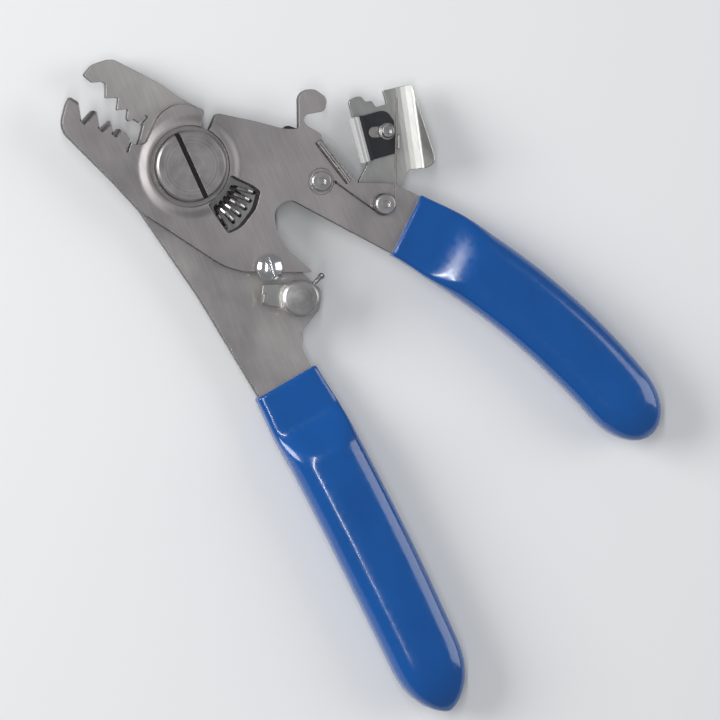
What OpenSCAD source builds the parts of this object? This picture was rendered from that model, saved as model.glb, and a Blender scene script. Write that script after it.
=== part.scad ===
// Fibre stripper: two stamped steel arms crossing at a screw pivot, with toothed
// stripping jaws, a coil spring in a window through both arms, a turning latch,
// and a sprung wiping clamp on the upper handle. Handles are dipped in soft vinyl.
// The origin is on the pivot axis, in the plane the tool lies on. +Z points out of
// the front face, and +Y from the pivot towards the jaws, along the tool.

/* [Arms] */
// Thickness of each stamped arm
plate_t = 2.5; // [2.3:0.1:2.6]
// Gap between the two arms
arm_gap = 0.1; // [0.06:0.02:0.14]
// Height of the back arm's rear face
back_z = 3.5; // [3.4:0.1:3.6]
// Width of the ground land along each tooth
bevel_w = 0.7; // [0.3:0.1:0.9]
// Radius of the round nip at the root of the teeth
nip_r = 2.15; // [1.9:0.05:2.3]
// Width of the relief slit beside the nip
slit_w = 0.75; // [0.4:0.05:0.9]

/* [Pivot] */
// Radius of the large slotted screw head
head_r = 8.3; // [8:0.1:8.5]
// Height of the screw head above the front arm
head_rise = 2.2; // [1.6:0.1:2.6]
// Radius of the pivot shank
shank_r = 3.95; // [3.5:0.05:4.2]
// Running clearance of every moving shaft in its bore
run_fit = 0.05; // [0.03:0.01:0.08]
// Width of the screwdriver slot
slot_w = 1.2; // [0.8:0.1:1.6]

/* [Return spring] */
// Outer radius of the coil
coil_r = 3.2; // [2.8:0.1:3.4]
// Radius of the spring wire
coil_wire_r = 0.5; // [0.3:0.02:0.54]
// Turns of the coil
coil_turns = 5; // [4:0.5:6]

/* [Latch] */
// Radius of the latch's round cap
cap_r = 4.3; // [4:0.1:4.5]
// Thickness of the latch's round cap
cap_t = 2.6; // [2:0.1:3]
// Radius of the half-moon post that stops the tongue
post_r = 4.0; // [3.8:0.1:4.1]
// Distance of the post's flat from the latch axis
post_flat = 1.4; // [1.2:0.1:1.5]
// Radius of the thumb pin
thumb_r = 0.55; // [0.4:0.05:0.7]

/* [Wiping clamp] */
// Thickness of the lever, bracket and backing sheets
sheet_t = 1.2; // [1:0.1:1.2]
// Thickness of the whole wiping pad
pad_t = 1.8; // [1.2:0.1:1.9]
// Radius of the anvil pin
anvil_r = 0.85; // [0.6:0.05:0.9]
// Radius of the lever spring's wire
leg_wire_r = 0.19; // [0.14:0.01:0.22]

/* [Grips] */
// Half the width of the grips
grip_w = 8.7; // [8:0.1:9]
// Thickness of the grips
grip_t = 12.1; // [11:0.1:13]
// Thickness of the vinyl over the flat of each arm
dip_t = 1.3; // [1:0.1:1.6]

/* [Hidden] */
$fn = 64;
eps = 0.01;
// Furthest that a rounded corner's facets lie from the true arc
chord_error = 0.012;

// Levels up the stack of plates
front_z = back_z + plate_t + arm_gap;
front_top = front_z + plate_t;
lever_z = front_z - arm_gap - sheet_t;
lever_top = lever_z + sheet_t;
backing_z = lever_z - arm_gap - sheet_t;

// Pivot
boss_r = 12.4;
boss_h = 0.4;
boss_run = 2.4;
recess_gap = 1.2;
recess_z = front_top - 0.8;
nut_h = 2.9;
nut_r = head_r - 0.7;

// Places on the arms, from the pivot axis
nip_at = [-8.2, 13.1];
latch_at = [10.4, -38.6];
stud_at = [6.9, -29.2];
screw1_at = [26.9, -16.3];
screw2_at = [38.1, -27.4];
pad_screw_at = [46.4, -12.5];
anvil_from = [30.1, -7.6];
anvil_to = [32.8, -19.2];
wire_hole_at = [29.9, -17.9];

// Small screws
screw_head_r = 2.35;
screw_head_h = 1.2;
screw_shank_r = 1.25;
socket_r = 1.0;
screw_recess_r = 3.1;
screw_recess_h = 0.4;
coil_seat_r = 1.9;
coil_seat_h = 1.55;

// Window for the return spring: inner and outer radius, and its two slanted ends
window = [
    [0.0, -9.9, 0.6], [1.7, -18.0, 0.9], [5.2, -18.1, 6], [10.2, -15.6, 6],
    [12.9, -12.4, 1.0], [11.8, -10.4, 1.4], [8.0, -5.9, 0.6], [4.4, -8.6, 9]
];
coil_axis_r = 14.2;
coil_from = -46;
coil_to = -82;

// Grip centre lines: start point, start heading, turn in degrees per mm
lower_line = [[0.2, -55.2], -85.5, -0.058];
upper_line = [[41.0, -34.0], -51.5, -0.342];
lower_len = 86;
upper_len = 77.5;
// Length of each grip's rounded end, and the power that sets how blunt it is
lower_cap = [16, 0.69];
upper_cap = [14, 0.55];
lip_len = 0.7;
swell_from = 9;
swell_to = 20;

// Corner lists: x, y and the corner's radius
tang_w = 4.4;
lower_tang = [
    concat(line_at(lower_line, 2, 7.2), 2), concat(line_at(lower_line, 12, 6.6), 3),
    concat(line_at(lower_line, 18, tang_w), 3), concat(line_at(lower_line, 72, tang_w), 3),
    concat(line_at(lower_line, 72, -tang_w), 3), concat(line_at(lower_line, 18, -tang_w), 3),
    concat(line_at(lower_line, 12, -6.6), 3), concat(line_at(lower_line, 2, -7.2), 2)
];
upper_tang = [
    concat(line_at(upper_line, 2, 7.4), 2), concat(line_at(upper_line, 11, 6.6), 3),
    concat(line_at(upper_line, 17, tang_w), 3),
    for (s = [24 : 8 : 56]) concat(line_at(upper_line, s, tang_w), 0),
    concat(line_at(upper_line, 64, tang_w), 3), concat(line_at(upper_line, 64, -tang_w), 3),
    for (s = [56 : -8 : 24]) concat(line_at(upper_line, s, -tang_w), 0),
    concat(line_at(upper_line, 17, -tang_w), 3), concat(line_at(upper_line, 11, -6.6), 3),
    concat(line_at(upper_line, 2, -7.4), 2)
];
back_jaw = [
    [-7.4, 10.6, 0], [-5.4, 13.0, 0.4], [-6.9, 15.3, 0.5], [-8.0, 15.2, 0.3],
    [-8.4, 15.9, 0.3], [-7.1, 18.0, 0.3], [-9.7, 18.8, 0.3], [-8.0, 21.3, 0.4],
    [-10.9, 22.4, 0.4], [-9.2, 26.0, 0.9], [-12.1, 27.0, 0.5], [-13.3, 29.5, 0.5],
    [-10.3, 30.8, 3], [-5.7, 30.2, 3], [2.1, 20.3, 12], [5.2, 15.0, 12],
    [8.9, 10.2, 0.8]
];
back_right = [
    [6.1, 7.3, 0.5], [7.6, 5.6, 0.5], [12.6, 2.4, 3], [18.3, -10.2, 5],
    [11.9, -20.6, 6], [11.6, -28.0, 6], [17.1, -39.8, 2.8], [14.4, -43.4, 2],
    [7.9, -46.4, 3], [7.0, -51.0, 6]
];
back_left = [
    [-10.2, -28.8, 40], [-14.9, -2.6, 5], [-13.6, 3.0, 4], [-9.8, 8.2, 2]
];
front_jaw = [
    [-18.9, 26.5, 0.4], [-20.5, 25.2, 4], [-24.2, 20.7, 5], [-18.0, 4.4, 30],
    [-15.0, -4.6, 8], [-2.4, -24.4, 30], [1.4, -27.6, 6], [16.3, -34.7, 0.3],
    [13.2, -28.0, 9], [12.2, -22.4, 6], [14.0, -17.2, 4.5], [18.6, -17.0, 3]
];
front_top_edge = [
    [45.0, -27.2, 4], [42.4, -24.0, 5], [37.6, -21.6, 6], [34.4, -20.1, 1.4],
    [31.3, -8.0, 1.2], [31.6, -6.4, 1.6], [28.9, -2.6, 3], [29.7, -0.6, 1.6],
    [34.6, -1.9, 1.4], [36.4, 0.6, 2], [34.2, 4.4, 3], [30.6, 4.4, 4],
    [27.3, -3.0, 0.5], [24.1, -1.6, 8], [18.6, 2.9, 20], [11.0, 8.5, 1],
    [7.7, 5.6, 0.4], [6.1, 7.4, 0.4], [8.9, 10.2, 1], [4.0, 14.6, 7],
    [-1.2, 14.0, 6], [-4.6, 11.2, 6], [-7.4, 9.0, 1.6], [-10.0, 10.2, 0]
];
front_teeth = [
    [-10.4, 13.2, 0.3], [-11.6, 15.1, 0.4], [-13.3, 14.1, 0.2], [-12.4, 17.7, 0.3],
    [-15.7, 16.6, 0.2], [-14.6, 20.8, 0.4], [-15.4, 21.4, 0.3], [-18.9, 20.0, 0.2],
    [-17.6, 24.7, 0.6]
];
// Edges of the front jaw that carry a ground land, each from its root to its tip
front_lands = [
    [[-13.2, 14.2], [-11.6, 15.0]], [[-15.6, 16.7], [-12.4, 17.6]],
    [[-18.7, 20.1], [-15.3, 21.3]], [[-17.6, 24.6], [-18.9, 26.5]]
];
back_lands = [
    [[-8.4, 15.9], [-7.2, 17.9]], [[-9.6, 18.8], [-8.1, 21.2]], [[-10.8, 22.4], [-9.3, 25.8]]
];

// Clamp lever: flat sheet, then a wing curving up along the line wing_at
lever_outline = [
    [35.4, -20.3, 3], [33.6, -27.6, 4.4], [38.1, -33.0, 4.4], [43.2, -28.4, 4.4],
    [42.9, -26.2, 2], [47.6, -22.9, 0.6], [51.6, -24.2, 1.6], [53.4, -23.2, 1.2],
    [56.4, -5.1, 0.5], [49.7, -3.6, 0.4], [49.2, -6.8, 0.3], [46.5, -6.5, 0.8],
    [46.4, -4.6, 1.2], [44.9, -4.3, 0.5], [44.3, -2.3, 1.4], [41.2, -2.2, 1.2],
    [40.6, -6.0, 2], [40.3, -16.8, 4]
];
wing_at = [55.9, -5.0];
wing_angle = -106.8;
wing_flat = 4.5;
wing_len = 24;
wing_slope = 16;
lip_slope = 60;
lip_r = 1.5;
lip_run = 3.4;
bracket_outline = [
    [41.3, -6.6, 0.2], [48.3, -7.8, 2.4], [48.9, -11.0, 1], [46.1, -18.0, 0.4],
    [39.7, -16.9, 0.2]
];
slot_left_at = [43.5, -11.4];
backing_outline = [
    [24.6, -0.2, 1.6], [28.2, -3.6, 2], [30.4, -16.0, 5], [33.2, -21.4, 5], [42.2, -26.4, 4],
    [40.6, -31.4, 4], [35.6, -32.6, 4], [22.6, -19.6, 4], [22.9, -10.0, 4]
];
// Wiping pad: the line of its face at rest, from its outer to its inner end
pad_from = [39.6, -6.1];
pad_to = [37.7, -16.6];
pad_leaves = 4;
leaf_gap = 0.04;
pad_lift = 0.2;
pad_h = 3.0;
upright_t = 0.8;
pad_shank_r = 0.95;
pad_head_r = 1.6;
pad_washer_t = 0.3;
bracket_t = 1.0;
bracket_top = lever_top + bracket_t;
slot_r = 1.3;
lance_at = [47.7, -15.8];
lance_angle = 64;

// Torsion spring: hooked leg on the arm, coil round the screw, leg against the lever
leg_r = 2.4;
leg_z = front_top + leg_wire_r + 0.02;
leg_pitch = 2 * leg_wire_r + 0.04;
leg_from = 209;
leg_turn = 845;
lever_leg = [51.8, -6.5, lever_top + leg_wire_r + 0.5];

// Latch
latch_shank_r = 2;
finger_t = 1.0;
finger_z = front_top + 0.35;
thumb_end = 7.8;
thumb_z = 1.2;
thumb_angle = 21;
stud_neck_r = 1.2;
stud_head_r = 3.0;
stud_slot_angle = 83;
stud_head_z = finger_z + finger_t + 0.15;

function unit(v) = v / norm(v);
function turn(a, b) = a.x * b.y - a.y * b.x;

// Arc that rounds corner b, [x, y, r], between its neighbours a and c.
// The radius is cut back where the edges are too short for it.
function corner(a, b, c) =
    let (
        p = [b.x, b.y], in = [a.x, a.y] - p, out = [c.x, c.y] - p, u = unit(in), v = unit(out),
        half = acos(max(-1, min(1, u * v))) / 2, sweep = 180 - 2 * half,
        r = min(b.z, 0.48 * min(norm(in), norm(out)) * tan(half))
    )
    r < 0.05 || sweep < 1 ? [p] :
    let (
        mid = p + unit(u + v) * r / sin(half), from = p + u * r / tan(half) - mid,
        side = sign(turn(-u, v)), first = atan2(from.y, from.x),
        n = max(2, ceil(sweep / (2 * acos(1 - chord_error / max(r, 0.2)))))
    )
    [for (k = [0 : n]) mid + r * [cos(first + side * sweep * k / n),
                                  sin(first + side * sweep * k / n)]];

// Closed outline with each corner [x, y, r] rounded
function rounded(c) = [for (i = [0 : len(c) - 1])
    each corner(c[(i + len(c) - 1) % len(c)], c[i], c[(i + 1) % len(c)])];

// Point at distance s along a centre line, off to its left by off
function heading(line, s) = line[1] + line[2] * s;
function line_at(line, s, off = 0) =
    let (r = 180 / PI / line[2], h = heading(line, s))
    line[0] + r * [sin(h) - sin(line[1]), cos(line[1]) - cos(h)] + off * [-sin(h), cos(h)];

function smooth(x) = let (t = max(0, min(1, x))) t * t * (3 - 2 * t);

// Tube of radius r along points, with its ends closed
module tube(points, r, sides = 8) {
    n = len(points);
    rings = [for (i = [0 : n - 1])
        let (
            along = unit(points[min(i + 1, n - 1)] - points[max(i - 1, 0)]),
            up = abs(along.z) > 0.95 ? [1, 0, 0] : [0, 0, 1],
            a = unit(cross(along, up)), b = cross(along, a)
        )
        for (k = [0 : sides - 1]) points[i] + r * (cos(360 * k / sides) * a
                                                   + sin(360 * k / sides) * b)];
    sides_faces = [for (i = [0 : n - 2], k = [0 : sides - 1])
        let (a = i * sides + k, b = i * sides + (k + 1) % sides)
        each [[a, b, b + sides], [a, b + sides, a + sides]]];
    first = [for (k = [sides - 1 : -1 : 0]) k];
    last = [for (k = [0 : sides - 1]) (n - 1) * sides + k];
    polyhedron(points = rings, faces = concat(sides_faces, [first, last]), convexity = 8);
}

// Plate of thickness t standing at height z, cut from a corner list
module plate(corners, z, t) {
    translate([0, 0, z]) linear_extrude(t) polygon(rounded(corners));
}

// Relief slit from a to b, with a round end
module slit(a, b, z, t) {
    d = b - a;
    translate([a.x, a.y, z - eps]) rotate(atan2(d.y, d.x)) {
        translate([0, -slit_w / 2, 0]) cube([norm(d), slit_w, t + 2 * eps]);
        translate([norm(d), 0, 0]) cylinder(r = slit_w * 0.65, h = t + 2 * eps);
    }
}

// Wedge that grinds a land along an edge from a to b, sloping down to its right
module land(a, b, z, up) {
    d = b - a;
    translate([a.x, a.y, z]) rotate(atan2(d.y, d.x)) mirror([0, 0, up ? 0 : 1])
        translate([-0.2, 0, 0]) rotate([90, 0, 90]) linear_extrude(norm(d) + 0.2)
            polygon([[bevel_w, eps], [-1, eps], [-1, -bevel_w * 1.4], [0, -bevel_w]]);
}

// Socket-headed screw at height z, head up, with its shank reaching down
module socket_screw(at, z, head, shank, seat = 0) {
    translate([at.x, at.y, z]) difference() {
        union() {
            rotate_extrude() polygon([
                [0, 0], [head, 0], [head, screw_head_h - 0.25], [head - 0.25, screw_head_h],
                [0, screw_head_h]
            ]);
            translate([0, 0, -shank]) cylinder(r = screw_shank_r, h = shank + eps);
            if (seat > 0) translate([0, 0, -seat]) cylinder(r = coil_seat_r, h = seat + eps);
        }
        translate([0, 0, screw_head_h - 0.8]) cylinder(r = socket_r, h = 1, $fn = 6);
    }
}

// Hexagon nut with a chamfered outer face, its inner face at height z
module hex_nut(at, z, across, h, bore) {
    translate([at.x, at.y, z - h]) difference() {
        intersection() {
            cylinder(d = across / cos(30), h = h, $fn = 6);
            rotate_extrude() polygon([
                [0, 0], [across / 2 - 0.1, 0], [across / 2 + 0.6, 0.5],
                [across / 2 + 0.6, h], [0, h]
            ]);
        }
        translate([0, 0, -eps]) cylinder(r = bore, h = h + 2 * eps);
    }
}

// Corner list of the whole back arm
function back_outline() = concat(back_jaw, back_right, lower_tang, back_left);

module back_arm() color("silver") difference() {
    plate(back_outline(), back_z, plate_t);
    translate([0, 0, back_z - eps]) cylinder(r = shank_r + run_fit, h = plate_t + 2 * eps);
    translate([nip_at.x, nip_at.y, back_z - eps]) cylinder(r = nip_r, h = plate_t + 2 * eps);
    translate([latch_at.x, latch_at.y, back_z - eps])
        cylinder(r = latch_shank_r + run_fit, h = plate_t + 2 * eps);
    slit([-5.9, 13.6], [-4.1, 14.4], back_z, plate_t);
    plate(window, back_z - eps, plate_t + 2 * eps);
    for (l = back_lands) land(l[0], l[1], back_z, false);
}

// Screw head with slot, and the shank that both arms turn on
module pivot_screw() color("gainsboro") difference() {
    union() {
        translate([0, 0, recess_z]) rotate_extrude() polygon([
            [0, 0], [head_r, 0], [head_r, front_top - recess_z + head_rise - 0.5],
            [head_r - 0.5, front_top - recess_z + head_rise],
            [0, front_top - recess_z + head_rise]
        ]);
        translate([0, 0, 0.9]) cylinder(r = shank_r, h = recess_z - 0.9 + eps);
    }
    translate([-slot_w / 2, -head_r - 1, front_top + head_rise - 1.3])
        cube([slot_w, 2 * head_r + 2, 2]);
}

module pivot_washer() color("darkgray") translate([0, 0, nut_h]) difference() {
    cylinder(r = head_r + 0.1, h = back_z - nut_h);
    translate([0, 0, -eps]) cylinder(r = shank_r, h = back_z);
}

// Closed round nut with two spanner holes: the tool lies on its face
module pivot_nut() color("silver") difference() {
    rotate_extrude() polygon([
        [0, 0], [nut_r - 0.5, 0], [nut_r, 0.5], [nut_r, nut_h], [shank_r, nut_h],
        [shank_r, 0.9], [0, 0.9]
    ]);
    for (a = [0, 180]) rotate(a) translate([5.6, 0, -eps]) cylinder(r = 0.8, h = 1.6);
}

// Coil spring lying along an arc round the pivot
module return_spring() color("dimgray") {
    n = 14 * coil_turns;
    mid_r = coil_r - coil_wire_r;
    tube([for (i = [0 : n])
        let (
            a = coil_from + (coil_to - coil_from) * i / n, f = 360 * coil_turns * i / n,
            r = coil_axis_r + mid_r * cos(f)
        )
        [r * cos(a), r * sin(a), front_z - arm_gap / 2 + mid_r * sin(f)]], coil_wire_r);
}

// Dipped grip lofted along a centre line: a thin sleeve over the arm, then the swell
module grip(line, length, half_w, arm_z, cap) {
    sides = 28;
    stations = [
        0, lip_len, 3, 6, for (s = [swell_from : 1.375 : swell_to]) s, 26, 33, 40, 47, 54,
        length - cap[0], for (k = [1 : 9]) length - cap[0] + cap[0] * sin(k * 9.6)
    ];
    rings = [for (s = stations)
        let (
            swell = smooth((s - swell_from) / (swell_to - swell_from)),
            past = max(0, (s - length) / cap[0] + 1), tip = pow(1 - pow(past, 2.5), cap[1]),
            lip = s < lip_len ? 0.5 : 0,
            w = (half_w - 0.6 + 0.6 * smooth(s / 12) - 0.3 * smooth((s - 45) / 30)) * tip - lip,
            low = (arm_z - dip_t) * (1 - swell), high = arm_z + plate_t + dip_t
                + (grip_t - arm_z - plate_t - dip_t) * swell,
            mid = (low + high) / 2, h = (high - low) / 2 * tip - lip, n = 5 - 2.3 * swell,
            p = line_at(line, s), a = heading(line, s)
        )
        for (k = [0 : sides - 1])
            let (
                c = cos(360 * k / sides), e = sin(360 * k / sides),
                x = w * sign(c) * pow(abs(c), 2 / n), z = h * sign(e) * pow(abs(e), 2 / n)
            )
            [p.x - x * sin(a), p.y + x * cos(a), mid + z]];
    m = len(stations);
    walls = [for (i = [0 : m - 2], k = [0 : sides - 1])
        let (a = i * sides + k, b = i * sides + (k + 1) % sides)
        each [[a, b + sides, b], [a, a + sides, b + sides]]];
    first = [for (k = [0 : sides - 1]) k];
    last = [for (k = [sides - 1 : -1 : 0]) (m - 1) * sides + k];
    polyhedron(points = rings, faces = concat(walls, [first, last]), convexity = 4);
}

module lower_grip() color("mediumblue") difference() {
    grip(lower_line, lower_len, grip_w, back_z, lower_cap);
    plate(back_outline(), back_z, plate_t);
}

module upper_grip() color("mediumblue") difference() {
    grip(upper_line, upper_len, grip_w - 0.2, front_z, upper_cap);
    plate(front_outline(), front_z, plate_t);
}

function reverse(l) = [for (i = [len(l) - 1 : -1 : 0]) l[i]];

// Half-moon post that turns in the back arm, with its shank
module latch_post() color("silver") translate([latch_at.x, latch_at.y, 0]) {
    away = atan2(-latch_at.y, -latch_at.x);
    translate([0, 0, front_z]) difference() {
        cylinder(r = post_r, h = finger_z - front_z);
        rotate(away) translate([post_flat, -post_r, -eps]) cube([post_r, 2 * post_r, 4]);
    }
    translate([0, 0, back_z - 1.2]) cylinder(r = latch_shank_r, h = front_z - back_z + 1.2);
}

module latch_cap() color("gainsboro") translate([latch_at.x, latch_at.y, finger_z + finger_t])
    difference() {
        rotate_extrude() polygon([
            [0, 0], [cap_r - 0.2, 0], [cap_r, 0.2], [cap_r, cap_t - 0.6],
            [cap_r - 0.5, cap_t - 0.2], [0, cap_t]
        ]);
        rotate(thumb_angle) translate([2, 0, thumb_z]) rotate([0, 90, 0]) cylinder(r = thumb_r, h = 5);
    }

// Pin pressed into the cap's rim, with a rounded head
module latch_thumb_pin() color("silver")
    translate([latch_at.x, latch_at.y, finger_z + finger_t + thumb_z]) rotate(thumb_angle)
        rotate([0, 90, 0]) rotate_extrude() polygon([
            [0, 2], [thumb_r, 2], [thumb_r, thumb_end - 1.1], [thumb_r + 0.2, thumb_end - 0.9],
            [thumb_r + 0.2, thumb_end - 0.3], [thumb_r - 0.1, thumb_end], [0, thumb_end]
        ]);

// Flat finger under the cap, with an upright ear at its end
module latch_finger() color("gray") {
    plate([
        [3.9, -32.1, 0.5], [9.0, -34.4, 1], [13.6, -37.2, 2.5], [12.6, -41.4, 2.5],
        [6.2, -39.2, 1.5], [1.8, -36.0, 0.6]
    ], finger_z, finger_t);
    plate([
        [2.9, -34.0, 0.1], [3.8, -34.4, 0.1], [2.8, -36.2, 0.1], [1.9, -35.8, 0.1]
    ], finger_z + finger_t - eps, 1.4);
}

module latch_clip() color("dimgray") translate([latch_at.x, latch_at.y, back_z - 0.9])
    difference() {
        cylinder(r = 3.4, h = 0.85);
        translate([0, 0, -eps]) cylinder(r = latch_shank_r, h = 2);
    }

// Corner list of the whole front arm
function front_outline() = concat(front_jaw, reverse(upper_tang), front_top_edge, front_teeth);

// Stamped front arm, with a low soft boss raised round the pivot
module front_arm() color("silver") difference() {
    union() {
        plate(front_outline(), front_z, plate_t);
        intersection() {
            plate(front_outline(), front_top - eps, boss_h + 1);
            translate([0, 0, front_top - eps]) rotate_extrude($fn = 96) polygon(concat(
                [[0, 0]],
                [for (k = [0 : 8]) [boss_r - boss_run * k / 8, eps + boss_h * smooth(k / 8)]],
                [[0, boss_h + eps]]
            ));
        }
    }
    translate([0, 0, front_z - eps]) cylinder(r = shank_r + run_fit, h = plate_t + 1);
    translate([0, 0, recess_z]) cylinder(r = head_r + recess_gap, h = 3, $fn = 96);
    translate([nip_at.x, nip_at.y, front_z - eps]) cylinder(r = nip_r, h = plate_t + 2 * eps);
    for (s = [screw1_at, screw2_at]) translate([s.x, s.y, front_z - eps])
        cylinder(r = screw_shank_r, h = plate_t + 2 * eps);
    translate([stud_at.x, stud_at.y, front_z - eps])
        cylinder(r = stud_neck_r, h = plate_t + 2 * eps);
    translate([screw1_at.x, screw1_at.y, front_top - screw_recess_h])
        cylinder(r = screw_recess_r, h = 1);
    translate([wire_hole_at.x, wire_hole_at.y, front_z - eps])
        cylinder(r = leg_wire_r + 0.15, h = plate_t + 2 * eps, $fn = 24);
    slit([-9.7, 11.6], [-11.9, 9.6], front_z, plate_t);
    plate(window, front_z - eps, plate_t + 1);
    anvil();
    for (l = front_lands) land(l[0], l[1], front_top, true);
}

// Round bar along the plate's slanted edge
module anvil() {
    d = anvil_to - anvil_from;
    translate([anvil_from.x, anvil_from.y, front_top - 0.3]) rotate(atan2(d.y, d.x))
        rotate([0, 90, 0]) cylinder(r = anvil_r, h = norm(d), $fn = 48);
}

module anvil_pin() color("dimgray") anvil();

// Stud riveted in the tongue, with a domed slotted head
module tongue_stud() color("gainsboro") translate([stud_at.x, stud_at.y, 0]) difference() {
    union() {
        translate([0, 0, front_z]) cylinder(r = stud_neck_r, h = stud_head_z - front_z + eps);
        translate([0, 0, stud_head_z]) cylinder(r = stud_head_r, h = 0.7);
        translate([0, 0, stud_head_z + 0.7]) intersection() {
            translate([0, 0, -3.4]) sphere(r = 4.58);
            cylinder(r = stud_head_r, h = 3);
        }
    }
    rotate(stud_slot_angle) translate([-stud_head_r - 1, -0.35, stud_head_z + 1.1])
        cube([2 * stud_head_r + 2, 0.7, 3]);
}

// Sheet that clamps the lever's pivot and spring from behind
module backing_plate() color("gray") difference() {
    plate(backing_outline, backing_z, sheet_t);
    for (s = [screw1_at, screw2_at]) translate([s.x, s.y, backing_z - eps])
        cylinder(r = screw_shank_r, h = sheet_t + 2 * eps);
}

module backing_spacer() color("darkgray")
    translate([screw1_at.x, screw1_at.y, backing_z + sheet_t]) difference() {
        cylinder(r = 2.6, h = front_z - backing_z - sheet_t);
        translate([0, 0, -eps]) cylinder(r = screw_shank_r, h = 4);
    }

module backing_screw() color("gainsboro")
    socket_screw(screw1_at, front_top - screw_recess_h, screw_head_r,
                 front_top - screw_recess_h - backing_z + 1.5);

module backing_nut() color("darkgray") hex_nut(screw1_at, backing_z, 4.4, 1.5, screw_shank_r);

module lever_screw() color("gainsboro")
    socket_screw(screw2_at, front_top + coil_seat_h, screw_head_r,
                 front_top + coil_seat_h - backing_z + 1.5, coil_seat_h);

module lever_nut() color("darkgray") hex_nut(screw2_at, backing_z, 4.4, 1.5, screw_shank_r);

module lever_spring() color("dimgray") {
    n = 32;
    rise = leg_pitch * leg_turn / 360;
    coil = [for (i = [0 : n]) let (a = leg_from + leg_turn * i / n)
        [screw2_at.x + leg_r * cos(a), screw2_at.y + leg_r * sin(a), leg_z + rise * i / n]];
    hook = [
        [wire_hole_at.x, wire_hole_at.y, leg_z - 1.2], [wire_hole_at.x, wire_hole_at.y, leg_z - 0.3],
        [wire_hole_at.x + 0.1, wire_hole_at.y - 0.2, leg_z]
    ];
    tube(concat(hook, coil, [lever_leg]), leg_wire_r);
}

// Points of a sheet's edge profile: a flat, a gentle rise, then a turned-up lip
function wing_path() =
    let (
        rise_r = wing_flat / sin(wing_slope), n = 4,
        rise = [for (k = [0 : n]) let (a = wing_slope * k / n)
            [-wing_flat + rise_r * sin(a), rise_r * (1 - cos(a))]],
        at = rise[n],
        lip = [for (k = [1 : 5]) let (a = wing_slope + (lip_slope - wing_slope) * k / 5)
            at + lip_r * [sin(a) - sin(wing_slope), cos(wing_slope) - cos(a)]]
    )
    concat([[-wing_flat - 1, 0]], rise, lip, [lip[4] + lip_run * [cos(lip_slope), sin(lip_slope)]]);

// Outline of a sheet of thickness t lying under a path
function under(path, t) =
    let (n = len(path))
    concat(path, [for (i = [n - 1 : -1 : 0])
        let (d = unit(path[min(i + 1, n - 1)] - path[max(i - 1, 0)])) path[i] + t * [d.y, -d.x]]);

module wing_side(keep) {
    translate([wing_at.x, wing_at.y, 0]) rotate(wing_angle + 90)
        translate(keep ? [-wing_flat, -wing_len - 2, 0] : [-60, -60, 0])
            cube(keep ? [30, wing_len + 6, 30] : [60 - wing_flat, 120, 30]);
}

// Stamped lever: pivot lobe, nose that enters the hook, and curved thumb wing
module clamp_lever() color("silver") difference() {
    union() {
        intersection() {
            plate(lever_outline, lever_z, sheet_t);
            wing_side(false);
        }
        intersection() {
            plate(lever_outline, 0, 14);
            translate([wing_at.x, wing_at.y, lever_top]) rotate(wing_angle + 90)
                translate([0, 4, 0]) rotate([90, 0, 0]) linear_extrude(wing_len + 6)
                    polygon(under(wing_path(), sheet_t));
        }
        lance();
    }
    translate([screw2_at.x, screw2_at.y, lever_z - eps])
        cylinder(r = screw_shank_r + run_fit, h = sheet_t + 2 * eps);
    translate([pad_screw_at.x, pad_screw_at.y, lever_z - eps])
        cylinder(r = pad_shank_r, h = sheet_t + 2 * eps);
}

// Small tab bent up out of the lever for the spring leg to push on
module lance() {
    translate([lance_at.x, lance_at.y, lever_top - eps]) rotate(lance_angle)
        translate([-1.6, -0.25, 0]) cube([3.2, 0.5, 2]);
}

// Angle bracket: foot on the lever, upright behind the pad leaves, slot for its screw
module pad_bracket() color("dimgray") difference() {
    union() {
        plate(bracket_outline, lever_top, bracket_t);
        pad_slab(pad_t, upright_t, 0, pad_h);
    }
    hull() for (p = [slot_left_at, pad_screw_at])
        translate([p.x, p.y, lever_top - eps]) cylinder(r = slot_r, h = 3, $fn = 32);
}

// Upright slab parallel to the pad's face, set back from it
module pad_slab(back, thick, lift, h) {
    d = pad_to - pad_from;
    translate([pad_from.x, pad_from.y, lever_top + lift]) rotate(atan2(d.y, d.x))
        translate([0, back, 0]) cube([norm(d), thick, h]);
}

module pad_leaf(i) color("whitesmoke") {
    step = pad_t / pad_leaves;
    pad_slab(i * step, step - leaf_gap, pad_lift, pad_h - 0.1);
}

module pad_screw() color("gainsboro")
    translate([pad_screw_at.x, pad_screw_at.y, bracket_top + pad_washer_t]) difference() {
        union() {
            rotate_extrude() polygon([
                [0, 0], [pad_head_r, 0], [pad_head_r, 0.8], [pad_head_r - 0.3, 1.2], [0, 1.2]
            ]);
            translate([0, 0, -4.2]) cylinder(r = pad_shank_r, h = 4.2 + eps);
        }
        translate([0, 0, 0.4]) cylinder(r = 0.75, h = 1, $fn = 6);
    }

module pad_washer() color("darkgray")
    translate([pad_screw_at.x, pad_screw_at.y, bracket_top]) difference() {
        cylinder(r = 1.95, h = pad_washer_t);
        translate([0, 0, -eps]) cylinder(r = pad_shank_r, h = 1);
    }

module pad_nut() color("darkgray") hex_nut(pad_screw_at, lever_z, 3.6, 1.5, pad_shank_r);

back_arm();
pivot_screw();
pivot_washer();
pivot_nut();
lower_grip();
return_spring();
latch_post();
latch_cap();
latch_thumb_pin();
latch_finger();
latch_clip();
front_arm();
upper_grip();
tongue_stud();
anvil_pin();
backing_plate();
backing_spacer();
backing_screw();
backing_nut();
lever_screw();
lever_nut();
lever_spring();
clamp_lever();
pad_bracket();
pad_leaf(0);  // wiping_pad_1
pad_leaf(1);  // wiping_pad_2
pad_leaf(2);  // wiping_pad_3
pad_leaf(3);  // wiping_pad_4
pad_screw();
pad_washer();
pad_nut();
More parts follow.
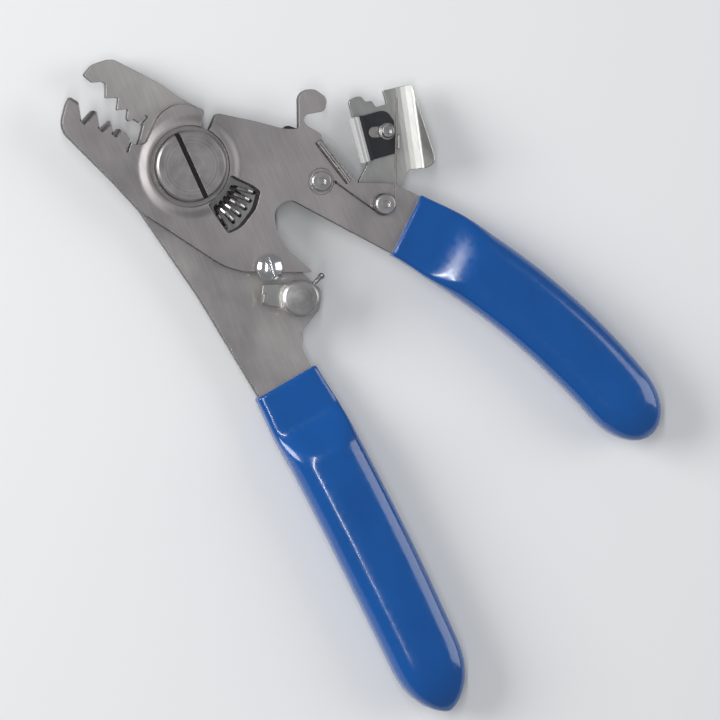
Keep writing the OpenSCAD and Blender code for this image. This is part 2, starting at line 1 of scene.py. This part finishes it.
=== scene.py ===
"""Fibre stripper: dressed model, studio and camera.

Lengths are in millimetres unless a name ends in _m or _M.
"""
import math

import bpy
from mathutils import Matrix, Vector


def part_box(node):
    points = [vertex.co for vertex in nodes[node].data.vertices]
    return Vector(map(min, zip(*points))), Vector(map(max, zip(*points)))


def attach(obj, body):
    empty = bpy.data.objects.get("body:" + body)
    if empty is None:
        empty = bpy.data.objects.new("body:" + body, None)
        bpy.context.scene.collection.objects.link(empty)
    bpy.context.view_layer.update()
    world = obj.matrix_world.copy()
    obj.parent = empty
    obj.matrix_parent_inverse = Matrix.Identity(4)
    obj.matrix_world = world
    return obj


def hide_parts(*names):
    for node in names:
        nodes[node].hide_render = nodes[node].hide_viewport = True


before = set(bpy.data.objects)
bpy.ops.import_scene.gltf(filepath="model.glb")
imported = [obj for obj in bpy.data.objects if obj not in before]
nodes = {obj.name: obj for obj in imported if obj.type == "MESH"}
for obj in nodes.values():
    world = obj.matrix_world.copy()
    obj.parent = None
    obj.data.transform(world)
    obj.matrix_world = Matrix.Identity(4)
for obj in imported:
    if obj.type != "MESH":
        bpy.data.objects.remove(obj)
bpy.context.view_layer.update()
scene = bpy.context.scene
MM = 0.001

# ------------------------------------------------------------------ camera
TURN = math.radians(25)
TILT = math.radians(13)
RIGHT = Vector((math.cos(TURN), -math.sin(TURN), 0))
UP = Vector((math.sin(TURN), math.cos(TURN), 0))
OUT = Vector((0, 0, 1))
AIM_ACROSS, AIM_DOWN, AIM_Z = 41.1, 44.9, 6.0
VIEW_WIDTH = 167.4
DISTANCE_M = 4.0
SENSOR_WIDTH = 36
CLIP_START_M = 0.01


def make_camera():
    """Long lens, turned with the tool and tilted from its left."""
    data = bpy.data.cameras.new("camera")
    data.sensor_width = SENSOR_WIDTH
    data.lens = SENSOR_WIDTH * DISTANCE_M / (VIEW_WIDTH * MM)
    data.clip_start = CLIP_START_M
    camera = bpy.data.objects.new("camera", data)
    scene.collection.objects.link(camera)
    look = RIGHT * math.sin(TILT) - OUT * math.cos(TILT)
    aim = (RIGHT * AIM_ACROSS - UP * AIM_DOWN + OUT * AIM_Z) * MM
    camera.matrix_world = Matrix((look.cross(UP), UP, -look)).transposed().to_4x4()
    camera.location = aim - look * DISTANCE_M
    scene.camera = camera


# ------------------------------------------------------------------ materials
RINGS_PER_M = 2400.0
SLOT_DEPTH = 0.35
SLOT_FADE = 0.25


class Shader:
    """A principled material with small helpers for its nodes."""

    def __init__(self, name, colour, metallic, roughness):
        self.mat = bpy.data.materials.new(name)
        self.mat.use_nodes = True
        self.tree = self.mat.node_tree
        self.bsdf = self.tree.nodes["Principled BSDF"]
        self.colour = colour
        self.set("Base Color", (*colour, 1))
        self.set("Metallic", metallic)
        self.set("Roughness", roughness)

    def set(self, socket, value):
        self.bsdf.inputs[socket].default_value = value

    def node(self, kind, inputs=(), **values):
        n = self.tree.nodes.new(kind)
        for key, value in values.items():
            setattr(n, key, value)
        for key, value in dict(inputs).items():
            if isinstance(value, bpy.types.NodeSocket):
                self.link(value, n.inputs[key])
            else:
                n.inputs[key].default_value = value
        return n

    def link(self, a, b):
        self.tree.links.new(a, b)

    def place(self, scale, turn=0.0):
        """Object position, turned about Z and scaled along each axis."""
        coord = self.node("ShaderNodeTexCoord")
        return self.node("ShaderNodeMapping", {
            "Vector": coord.outputs["Object"], "Rotation": (0, 0, turn), "Scale": scale,
        }).outputs["Vector"]

    def noise(self, where, scale, detail=3.0, rough=0.55):
        return self.node("ShaderNodeTexNoise", {
            "Vector": where, "Scale": scale, "Detail": detail, "Roughness": rough,
        }).outputs["Fac"]

    def spread(self, value, low, high, start=0.3, end=0.7):
        """Value from start..end carried to low..high."""
        return self.node("ShaderNodeMapRange", {
            "Value": value, "From Min": start, "From Max": end, "To Min": low, "To Max": high,
        }).outputs["Result"]

    def times(self, a, b):
        return self.node("ShaderNodeMath", {0: a, 1: b}, operation="MULTIPLY").outputs[0]

    def tint(self, factor):
        """Base colour times a factor that varies over the surface."""
        mix = self.node("ShaderNodeVectorMath", {0: self.colour, "Scale": factor},
                        operation="SCALE")
        self.link(mix.outputs["Vector"], self.bsdf.inputs["Base Color"])

    def rough(self, value):
        self.link(value, self.bsdf.inputs["Roughness"])

    def bump(self, height, strength, distance_m, soften_m=0.0):
        normal = self.node("ShaderNodeBump", {
            "Height": height, "Strength": strength, "Distance": distance_m,
        })
        if soften_m:
            edge = self.node("ShaderNodeBevel", {"Radius": soften_m}, samples=6)
            self.link(edge.outputs["Normal"], normal.inputs["Normal"])
        self.link(normal.outputs["Normal"], self.bsdf.inputs["Normal"])

    def painted_wall_shade(self, wall):
        """Painted shade: darker on the side walls of a sheet than on its flat faces, by how
        far the surface tilts from flat.
        """
        normal = self.node("ShaderNodeNewGeometry").outputs["Normal"]
        z = self.node("ShaderNodeSeparateXYZ", {0: normal}).outputs["Z"]
        flat = self.node("ShaderNodeMath", {0: z}, operation="ABSOLUTE").outputs[0]
        return self.spread(flat, wall, 1.0, 0.25, 0.8)


def sheet_steel(name, colour, roughness, turn, wall=0.4):
    """Satin sheet: fine lengthwise grain, faint clouding, painted shade on the side walls."""
    s = Shader(name, colour, 1.0, roughness)
    grain = s.noise(s.place((2600, 140, 600), turn), 1.0, 4)
    cloud = s.noise(s.place((55, 38, 55)), 1.0, 4, 0.6)
    shade = s.times(s.spread(grain, 0.93, 1.06), s.spread(cloud, 0.92, 1.07))
    # painted shade: the side walls get a darker base colour than the flat faces
    s.tint(s.times(shade, s.painted_wall_shade(wall)))
    s.rough(s.spread(cloud, roughness - 0.06, roughness + 0.08))
    s.bump(grain, 0.12, 0.00002, 0.00022)
    return s.mat


def turned_steel(name, colour, roughness, axis, slot_z=None):
    """Lathe-turned face: fine rings about the piece's own axis, painted shade below slot_z in
    the slot of the head.
    """
    s = Shader(name, colour, 1.0, roughness)
    coord = s.node("ShaderNodeTexCoord").outputs["Object"]
    away = s.node("ShaderNodeVectorMath", {0: coord, 1: axis}, operation="SUBTRACT")
    flat = s.node("ShaderNodeVectorMath", {0: away.outputs[0], 1: (1, 1, 0)},
                  operation="MULTIPLY")
    radius = s.node("ShaderNodeVectorMath", {0: flat.outputs[0]}, operation="LENGTH")
    ring = s.node("ShaderNodeTexNoise", {
        "W": s.times(radius.outputs["Value"], RINGS_PER_M), "Scale": 1.0, "Detail": 3.0,
    }, noise_dimensions="1D").outputs["Fac"]
    spot = s.noise(s.place((220, 220, 220)), 1.0, 3)
    shade = s.times(s.spread(ring, 0.9, 1.08), s.spread(spot, 0.94, 1.05))
    # painted shade: base colour darkened below slot_z, down inside the screw head's slot
    if slot_z:
        z = s.node("ShaderNodeSeparateXYZ", {0: coord}).outputs["Z"]
        shade = s.times(shade, s.spread(z, 0.12, 1.0, (slot_z - SLOT_FADE) * MM, slot_z * MM))
    s.tint(shade)
    s.rough(s.spread(spot, roughness - 0.05, roughness + 0.07))
    s.bump(ring, 0.3, 0.00003, 0.00018)
    return s.mat


def wire_steel(name, colour, roughness):
    """Drawn spring wire."""
    s = Shader(name, colour, 1.0, roughness)
    mark = s.noise(s.place((900, 900, 900)), 1.0, 3)
    s.tint(s.spread(mark, 0.85, 1.1))
    s.rough(s.spread(mark, roughness - 0.06, roughness + 0.1))
    return s.mat


def oxide_steel(name, colour, roughness):
    """Blackened sheet with faint rubbed patches."""
    s = Shader(name, colour, 0.85, roughness)
    patch = s.noise(s.place((420, 300, 420)), 1.0, 5, 0.65)
    # painted shade: the side walls get a darker base colour than the flat faces
    s.tint(s.times(s.spread(patch, 0.8, 1.25), s.painted_wall_shade(0.6)))
    s.rough(s.spread(patch, roughness + 0.08, roughness - 0.06))
    s.bump(patch, 0.15, 0.00002, 0.00012)
    return s.mat


def pressed_felt(name, colour):
    """Leaf of the wiping pad, with a fibrous nap."""
    s = Shader(name, colour, 0.0, 0.92)
    nap = s.noise(s.place((5200, 5200, 2600)), 1.0, 4, 0.7)
    s.tint(s.spread(nap, 0.82, 1.08))
    s.bump(nap, 0.5, 0.00006)
    return s.mat


def dipped_vinyl(name, colour):
    """Glossy dipped vinyl: shallow sag, fine orange peel, slightly uneven gloss."""
    s = Shader(name, colour, 0.0, 0.16)
    sag = s.noise(s.place((90, 60, 90)), 1.0, 2)
    peel = s.noise(s.place((800, 800, 800)), 1.0, 2, 0.5)
    s.tint(s.spread(sag, 0.93, 1.07))
    s.rough(s.spread(peel, 0.13, 0.24))
    height = s.node("ShaderNodeMath", {0: s.times(sag, 3.0), 1: s.times(peel, 0.22)},
                    operation="ADD").outputs[0]
    s.bump(height, 0.35, 0.00008)
    s.set("Coat Weight", 0.35)
    s.set("Coat Roughness", 0.07)
    s.set("Specular IOR Level", 0.55)
    return s.mat


def axis_of(name):
    """Middle of a round piece, for its lathe marks."""
    low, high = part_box(name)
    return (low + high) / 2


STEEL = (0.36, 0.335, 0.335)
LEVER = (0.46, 0.46, 0.44)
BLUE = (0.0, 0.072, 0.295)
HEAD_TOP = 10.8


def dress_nodes():
    """A finish for every CAD node that shows."""
    turned = ["pivot_screw", "pivot_nut", "latch_post", "latch_cap", "latch_clip",
              "tongue_stud", "backing_screw", "backing_nut", "lever_screw", "lever_nut",
              "pad_screw", "pad_nut", "pad_washer", "pivot_washer", "backing_spacer"]
    bright = {
        "tongue_stud": ((0.75, 0.75, 0.74), 0.14),
        "latch_cap": ((0.56, 0.54, 0.53), 0.3),
        "pivot_screw": ((0.36, 0.34, 0.338), 0.38),
    }
    finish = {
        "back_arm": sheet_steel("back_arm_steel", (0.43, 0.405, 0.4), 0.4, math.radians(-5)),
        "front_arm": sheet_steel("front_arm_steel", STEEL, 0.42, math.radians(-28)),
        "latch_finger": sheet_steel("finger_steel", LEVER, 0.3, 0.0),
        "clamp_lever": sheet_steel("lever_steel", LEVER, 0.36, math.radians(70), 0.55),
        "backing_plate": oxide_steel("backing_oxide", (0.09, 0.088, 0.088), 0.42),
        "pad_bracket": oxide_steel("bracket_oxide", (0.055, 0.055, 0.06), 0.38),
        "return_spring": wire_steel("coil_wire", (0.42, 0.4, 0.39), 0.24),
        "lever_spring": wire_steel("leg_wire", (0.16, 0.15, 0.15), 0.34),
        "anvil_pin": wire_steel("pin_wire", (0.3, 0.285, 0.28), 0.3),
        "latch_thumb_pin": wire_steel("thumb_wire", (0.42, 0.41, 0.4), 0.26),
    }
    for name in turned:
        colour, roughness = bright.get(name, ((0.52, 0.505, 0.5), 0.3))
        slot_z = HEAD_TOP - SLOT_DEPTH if name == "pivot_screw" else None
        finish[name] = turned_steel(name + "_turned", colour, roughness, axis_of(name), slot_z)
    for i, grey in enumerate((0.62, 0.42, 0.6, 0.4)):
        leaf = (grey, grey, grey * 0.98)
        finish[f"wiping_pad_{i + 1}"] = pressed_felt(f"leaf_felt_{i + 1}", leaf)
    for name, mat in finish.items():
        nodes[name].data.materials.clear()
        nodes[name].data.materials.append(mat)


# ------------------------------------------------------------------ dipped grips
SIDES = 96
STEP = 0.7
PLATE_T = 2.5
GRIP_T = 12.1
DIP_T = 1.3
SWELL_FROM, SWELL_TO = 9.0, 20.0
LIP = 0.6
MOUTH_EASE, MOUTH_RUN = 0.6, 12
WAIST_EASE, WAIST_FROM, WAIST_RUN = 0.3, 45, 30
TIP_POWER = 2.5
SLEEVE_POWER, SWELL_POWER_DROP = 6.0, 3.1
GRIPS = {
    "lower_grip": dict(start=(0.2, -55.2), heading=-85.5, turn=-0.058, length=86.0,
                       half_w=8.7, arm_z=3.5, cap=(16.0, 0.69)),
    "upper_grip": dict(start=(41.0, -34.0), heading=-51.5, turn=-0.342, length=77.5,
                       half_w=8.5, arm_z=6.1, cap=(14.0, 0.55)),
}


def smooth(x):
    t = max(0.0, min(1.0, x))
    return t * t * (3 - 2 * t)


def grip_ring(g, s):
    """Section of a dipped grip at distance s from its mouth."""
    swell = smooth((s - SWELL_FROM) / (SWELL_TO - SWELL_FROM))
    past = max(0.0, (s - g["length"]) / g["cap"][0] + 1)
    tip = max(0.0, 1 - past ** TIP_POWER) ** g["cap"][1]
    lip = LIP * (1 - math.sqrt(max(0.0, 1 - (1 - min(1.0, s / LIP)) ** 2)))
    half_w = (g["half_w"] - MOUTH_EASE + MOUTH_EASE * smooth(s / MOUTH_RUN)
              - WAIST_EASE * smooth((s - WAIST_FROM) / WAIST_RUN)) * tip - lip
    low = (g["arm_z"] - DIP_T) * (1 - swell)
    sleeve_top = g["arm_z"] + PLATE_T + DIP_T
    high = sleeve_top + (GRIP_T - sleeve_top) * swell
    half_h = (high - low) / 2 * tip - lip
    power = 2 / (SLEEVE_POWER - SWELL_POWER_DROP * swell)
    turn_r = math.degrees(1) / g["turn"]
    a, b = math.radians(g["heading"]), math.radians(g["heading"] + g["turn"] * s)
    x = g["start"][0] + turn_r * (math.sin(b) - math.sin(a))
    y = g["start"][1] + turn_r * (math.cos(a) - math.cos(b))
    ring = []
    for k in range(SIDES):
        c, e = math.cos(math.tau * k / SIDES), math.sin(math.tau * k / SIDES)
        across = half_w * math.copysign(abs(c) ** power, c)
        rise = half_h * math.copysign(abs(e) ** power, e)
        ring.append(((x - across * math.sin(b)) * MM, (y + across * math.cos(b)) * MM,
                     ((low + high) / 2 + rise) * MM))
    return ring


def make_grip(name, body, mat):
    """Smooth vinyl grip that stands for the CAD node."""
    g = GRIPS[name]
    cap_from = g["length"] - g["cap"][0]
    stops = [LIP * (1 - math.cos(math.radians(a))) for a in range(0, 91, 15)]
    stops += [LIP + STEP * k for k in range(1, int((cap_from - LIP) / STEP))]
    stops += [cap_from + g["cap"][0] * math.sin(math.radians(a)) for a in range(0, 89, 3)]
    rings = [grip_ring(g, s) for s in stops]
    points = [p for ring in rings for p in ring]
    faces = [((i + 1) * SIDES + k, (i + 1) * SIDES + (k + 1) % SIDES,
              i * SIDES + (k + 1) % SIDES, i * SIDES + k)
             for i in range(len(rings) - 1) for k in range(SIDES)]
    faces.append(tuple(range(SIDES)))
    faces.append(tuple(len(points) - 1 - k for k in range(SIDES)))
    mesh = bpy.data.meshes.new(name + "_vinyl")
    mesh.from_pydata(points, [], faces)
    mesh.update()
    mesh.shade_smooth()
    grip = bpy.data.objects.new(name + "_vinyl", mesh)
    scene.collection.objects.link(grip)
    mesh.materials.append(mat)
    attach(grip, body)
    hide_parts(name)


# ------------------------------------------------------------------ studio
FLOOR_HALF_M = 3.0
FLOOR_DROP_M = 0.0004


def make_floor():
    mesh = bpy.data.meshes.new("floor")
    half = FLOOR_HALF_M
    mesh.from_pydata([(-half, -half, 0), (half, -half, 0), (half, half, 0), (-half, half, 0)],
                     [], [(0, 1, 2, 3)])
    floor = bpy.data.objects.new("floor", mesh)
    scene.collection.objects.link(floor)
    floor.location.z = -FLOOR_DROP_M
    mesh.materials.append(Shader("floor_paper", (0.78, 0.785, 0.79), 0.0, 0.95).mat)


def soft_light(name, lean, along, reach_m, size_m, watts):
    """Area light lean degrees to the right of overhead and along degrees towards the jaws."""
    data = bpy.data.lights.new(name, "AREA")
    data.shape = "RECTANGLE"
    data.size, data.size_y = size_m
    data.energy = watts
    light = bpy.data.objects.new(name, data)
    scene.collection.objects.link(light)
    a, b = math.radians(lean), math.radians(along)
    way = (RIGHT * math.sin(a) + UP * math.sin(b) * math.cos(a)
           + OUT * math.cos(a) * math.cos(b)).normalized()
    aim = (RIGHT * AIM_ACROSS - UP * AIM_DOWN) * MM
    x = UP.cross(way).normalized()
    light.matrix_world = Matrix.Translation(aim + way * reach_m) @ Matrix(
        (x, way.cross(x), way)).transposed().to_4x4()


def make_studio():
    world = bpy.data.worlds.new("studio")
    scene.world = world
    world.use_nodes = True
    sky = world.node_tree.nodes["Background"]
    sky.inputs["Color"].default_value = (0.86, 0.9, 0.95, 1)
    sky.inputs["Strength"].default_value = 0.27
    soft_light("strip_left", -16, 4, 0.9, (0.035, 0.7), 2.4)
    soft_light("key_left", -60, 25, 1.0, (0.5, 0.6), 8.5)
    soft_light("fill_right", 60, 20, 1.2, (0.9, 0.7), 5)
    scene.view_settings.view_transform = "Standard"


make_camera()
dress_nodes()
vinyl = dipped_vinyl("grip_vinyl_blue", BLUE)
make_grip("lower_grip", "back_handle", vinyl)
make_grip("upper_grip", "front_handle", vinyl)
make_floor()
make_studio()
